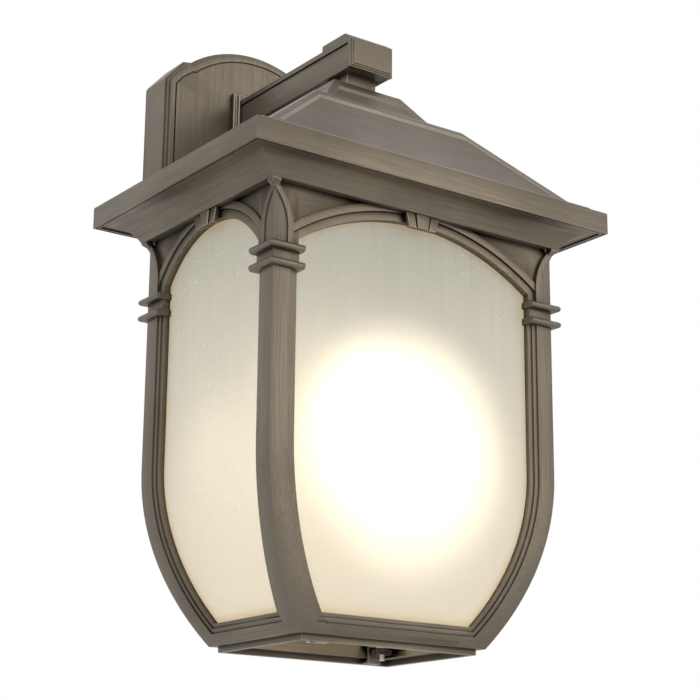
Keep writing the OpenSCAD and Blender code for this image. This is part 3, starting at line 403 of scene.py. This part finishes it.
FINISH = {
    "dark_bronze": bronze("dark_bronze", STROKES["upright"], BRONZE_BASE, BRONZE_LIGHT, BRONZE_PAINTED_SHADE, 0.45),
    "rubber": plain("gasket_foam", (0.02, 0.02, 0.02), 0.9, bump=0.5, scale=900),
    "zinc": plain("zinc_plate", (0.62, 0.63, 0.64), 0.35, metal=1.0, scale=120),
    "ground_green": plain("ground_green", (0.04, 0.22, 0.08), 0.35, metal=0.4),
    "black_nut": plain("black_nut", (0.015, 0.013, 0.012), 0.14, metal=0.3, coat=0.6),
    "frosted_glass": frosted_glass(),
    "porcelain": plain("porcelain", (0.85, 0.83, 0.78), 0.15, coat=0.5),
    "brass": plain("brass", (0.70, 0.50, 0.20), 0.25, metal=1.0),
    "bulb_shell": plain("bulb_shell", (0.72, 0.72, 0.72), 0.25, metal=1.0),
    "bulb_glass": bulb_light(),
    "wire_black": plain("wire_black", (0.02, 0.02, 0.02), 0.45),
    "wire_white": plain("wire_white", (0.80, 0.80, 0.78), 0.45),
    "wire_copper": plain("wire_copper", (0.70, 0.34, 0.16), 0.3, metal=1.0),
    "connector": plain("connector", (0.65, 0.16, 0.04), 0.4),
}


# ---------- Pieces ----------
def link_piece(name, mesh):
    piece = bpy.data.objects.new(name, mesh)
    bpy.context.collection.objects.link(piece)
    return piece


def baked(piece):
    """The piece with its modifiers made into a plain mesh."""
    deps = bpy.context.evaluated_depsgraph_get()
    mesh = bpy.data.meshes.new_from_object(piece.evaluated_get(deps))
    old = piece.data
    piece.modifiers.clear()
    piece.data = mesh
    bpy.data.meshes.remove(old)
    return piece


def soften(mesh, angle=32):
    mesh.shade_smooth()
    mesh.set_sharp_from_angle(angle=math.radians(angle))


def casting_surfaces():
    """Every casting's surface in one search tree, with the node that each face belongs to."""
    corners, faces, owners = [], [], []
    for node in CASTINGS:
        mesh = nodes[node].data
        first = len(corners)
        corners += [v.co.copy() for v in mesh.vertices]
        faces += [[first + i for i in p.vertices] for p in mesh.polygons]
        owners += [node] * len(mesh.polygons)
    return BVHTree.FromPolygons(corners, faces), owners


def merged_copy(node):
    """A copy of a CAD node's mesh with its doubled points merged, and a bmesh to work on it."""
    mesh = nodes[node].data.copy()
    work = bmesh.new()
    work.from_mesh(mesh)
    bmesh.ops.remove_doubles(work, verts=work.verts, dist=MERGE)
    return mesh, work


def write_back(work, mesh):
    work.to_mesh(mesh)
    work.free()


def meets_neighbour(node, edge):
    """Whether an edge lies on another casting, where the two are fitted tight."""
    ends = [v.co for v in edge.verts]
    for point in (*ends, (ends[0] + ends[1]) / 2):
        touched = SURFACES.find_nearest_range(point, TOUCH)
        if not any(OWNERS[face] != node for _, _, face, _ in touched):
            return False
    return True


def rounded_casting(node, width, stroke, segments=2):
    """A copy of a CAD casting with its free edges rounded and made lighter, rubbed wear with a painted
    highlight, in place of the node.
    """
    mesh, work = merged_copy(node)
    bmesh.ops.dissolve_limit(work, angle_limit=FLAT, verts=work.verts, edges=work.edges)
    weight = work.edges.layers.float.new("bevel_weight_edge")
    for edge in work.edges:
        sharp = len(edge.link_faces) == 2 and edge.calc_face_angle() > SHARP
        edge[weight] = 1.0 if sharp and not meets_neighbour(node, edge) else 0.0
    write_back(work, mesh)
    piece = link_piece(node + ".cast", mesh)
    mesh.materials.clear()
    for mat in BRONZE[stroke]:
        mesh.materials.append(mat)
    for face in mesh.polygons:
        face.material_index = 0
    bevel = piece.modifiers.new("rounded", "BEVEL")
    bevel.width = width
    bevel.segments = segments
    bevel.limit_method = "WEIGHT"
    # Rounded edges take the lighter edge finish: rubbed wear with a painted highlight
    bevel.material = 1
    bevel.harden_normals = False
    baked(piece)
    soften(piece.data)
    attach(piece, body_of_node[node])
    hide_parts(node)
    return piece


CASTINGS = {
    "back_plate": (0.7, "upright"), "arm_collar": (0.6, "upright"), "arm": (0.4, "along_arm"),
    "arm_lid": (0.5, "along_arm"), "arm_head": (0.45, "along_arm"), "neck": (0.5, "upright"),
    "roof_upper": (0.6, "level"), "roof_lower": (0.6, "level"), "cornice": (0.5, "level"),
    "bottom_rail": (0.5, "level"), "base_ring": (0.3, "level"),
    **{"post_" + c: (0.55, "upright") for c in ("front_left", "front_right", "rear_left", "rear_right")},
    **{"arch_" + c: (0.8, "level") for c in ("front", "rear", "left", "right")},
    **{"keystone_" + c: (0.4, "upright") for c in ("front", "rear", "left", "right")},
}


SURFACES, OWNERS = casting_surfaces()


def add_castings():
    for node, (width, stroke) in CASTINGS.items():
        rounded_casting(node, width * MM, stroke)


SEEDS_PER_M2 = 9000.0
SEED_SIZES = (0.00018, 0.00055)
SEED_TALL = 1.6    # height of a seed over its width


def seed_tree():
    """Geometry Nodes: small drops scattered over a surface, sized at random."""
    tree = bpy.data.node_groups.new("glass_seeds", "GeometryNodeTree")
    face = tree.interface
    face.new_socket("Geometry", in_out="INPUT", socket_type="NodeSocketGeometry")
    for label, value in (("Density", SEEDS_PER_M2), ("Smallest", SEED_SIZES[0]), ("Largest", SEED_SIZES[1])):
        face.new_socket(label, in_out="INPUT", socket_type="NodeSocketFloat").default_value = value
    face.new_socket("Seed", in_out="INPUT", socket_type="NodeSocketInt").default_value = SEED
    face.new_socket("Material", in_out="INPUT", socket_type="NodeSocketMaterial")
    face.new_socket("Geometry", in_out="OUTPUT", socket_type="NodeSocketGeometry")
    n, link = tree.nodes, tree.links.new
    gi, go = n.new("NodeGroupInput"), n.new("NodeGroupOutput")
    scatter = n.new("GeometryNodeDistributePointsOnFaces")
    link(gi.outputs["Geometry"], scatter.inputs["Mesh"])
    link(gi.outputs["Density"], scatter.inputs["Density"])
    link(gi.outputs["Seed"], scatter.inputs["Seed"])
    ball = n.new("GeometryNodeMeshIcoSphere")
    ball.inputs["Radius"].default_value = 0.5
    ball.inputs["Subdivisions"].default_value = 2
    size = n.new("FunctionNodeRandomValue")
    link(gi.outputs["Smallest"], size.inputs[2])
    link(gi.outputs["Largest"], size.inputs[3])
    link(gi.outputs["Seed"], size.inputs["Seed"])
    tall = n.new("ShaderNodeCombineXYZ")
    stretch = n.new("ShaderNodeMath")
    stretch.operation = "MULTIPLY"
    stretch.inputs[1].default_value = SEED_TALL
    link(size.outputs[1], stretch.inputs[0])
    link(size.outputs[1], tall.inputs["X"])
    link(size.outputs[1], tall.inputs["Y"])
    link(stretch.outputs[0], tall.inputs["Z"])
    put = n.new("GeometryNodeInstanceOnPoints")
    link(scatter.outputs["Points"], put.inputs["Points"])
    link(ball.outputs["Mesh"], put.inputs["Instance"])
    link(tall.outputs[0], put.inputs["Scale"])
    real = n.new("GeometryNodeRealizeInstances")
    link(put.outputs[0], real.inputs[0])
    paint = n.new("GeometryNodeSetMaterial")
    link(real.outputs[0], paint.inputs[0])
    link(gi.outputs["Material"], paint.inputs["Material"])
    link(paint.outputs[0], go.inputs[0])
    return tree


def set_inputs(modifier, **values):
    ids = {s.name: s.identifier for s in modifier.node_group.interface.items_tree if s.in_out == "INPUT"}
    for label, value in values.items():
        modifier[ids[label]] = value


def add_seeds():
    """Seeds on the outer face of each pane."""
    tree, finish = seed_tree(), seed_glint()
    panes = {"front": (0, -1, 0), "rear": (0, 1, 0), "left": (-1, 0, 0), "right": (1, 0, 0)}
    for i, (side, outward) in enumerate(panes.items()):
        node = "glass_" + side
        mesh, work = merged_copy(node)
        inner = [f for f in work.faces if f.normal.dot(Vector(outward)) < 0.5]
        bmesh.ops.delete(work, geom=inner, context="FACES")
        write_back(work, mesh)
        piece = link_piece(node + ".seeds", mesh)
        spread = piece.modifiers.new("seeds", "NODES")
        spread.node_group = tree
        set_inputs(spread, Density=SEEDS_PER_M2, Smallest=SEED_SIZES[0], Largest=SEED_SIZES[1],
                   Seed=SEED + i, Material=finish)
        baked(piece)
        piece.data.shade_smooth()
        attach(piece, body_of_node[node])


def add_bulb_thread():
    """Rolled screw shell of the bulb, as one ridged sleeve on the CAD base."""
    low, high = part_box("bulb_base")
    radius = (high[0] - low[0]) / 2
    pitch, turns, depth = 3.63 * MM, 5, 0.55 * MM
    around, rows = 48, turns * 10
    start, span = low[2] + 1.2 * MM, pitch * turns * 0.98

    def ring(z, reach):
        """Points round the axis at a height; reach gives the radius at an angle."""
        angles = [2 * math.pi * a / around for a in range(around)]
        return [(AXIS.x + reach(t) * math.cos(t), AXIS.y + reach(t) * math.sin(t), z) for t in angles]

    def ridge(z):
        """Radius of the thread at an angle, at a height."""
        turned = 2 * math.pi * (z - low[2]) / pitch
        return lambda t: radius - depth + depth * 0.5 * (1 + math.cos(t - turned))

    def band(below, above):
        """Faces between two rings, each given by its number."""
        pairs = [(a, (a + 1) % around) for a in range(around)]
        return [(below * around + a, below * around + b, above * around + b, above * around + a)
                for a, b in pairs]

    verts, faces = [], []
    for row in range(rows + 1):
        z = start + span * row / rows
        verts += ring(z, ridge(z))
    for r, z in ((radius - 1.2 * MM, low[2]), (radius - 2.2 * MM, high[2] - 4 * MM), (5.5 * MM, high[2])):
        verts += ring(z, lambda t, r=r: r)
    for row in range(rows):
        faces += band(row, row + 1)
    foot, shoulder, tip = rows + 1, rows + 2, rows + 3
    faces += band(foot, 0) + band(rows, shoulder) + band(shoulder, tip)
    mesh = bpy.data.meshes.new("bulb_thread")
    mesh.from_pydata(verts, [], faces)
    work = bmesh.new()
    work.from_mesh(mesh)
    bmesh.ops.holes_fill(work, edges=[e for e in work.edges if e.is_boundary], sides=0)
    bmesh.ops.recalc_face_normals(work, faces=work.faces)
    write_back(work, mesh)
    soften(mesh, 40)
    mesh.materials.append(FINISH["bulb_shell"])
    piece = link_piece("bulb_base.thread", mesh)
    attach(piece, "bulb")
    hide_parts("bulb_base")


def finish_nodes():
    """Gives every CAD node that stays its finish."""
    for node, obj in nodes.items():
        if node in CASTINGS:
            continue
        mesh = obj.data
        mesh.materials.clear()
        mesh.materials.append(FINISH[slot_of_node[node]])


add_camera()
add_studio()
finish_nodes()
add_castings()
add_seeds()
add_bulb_thread()
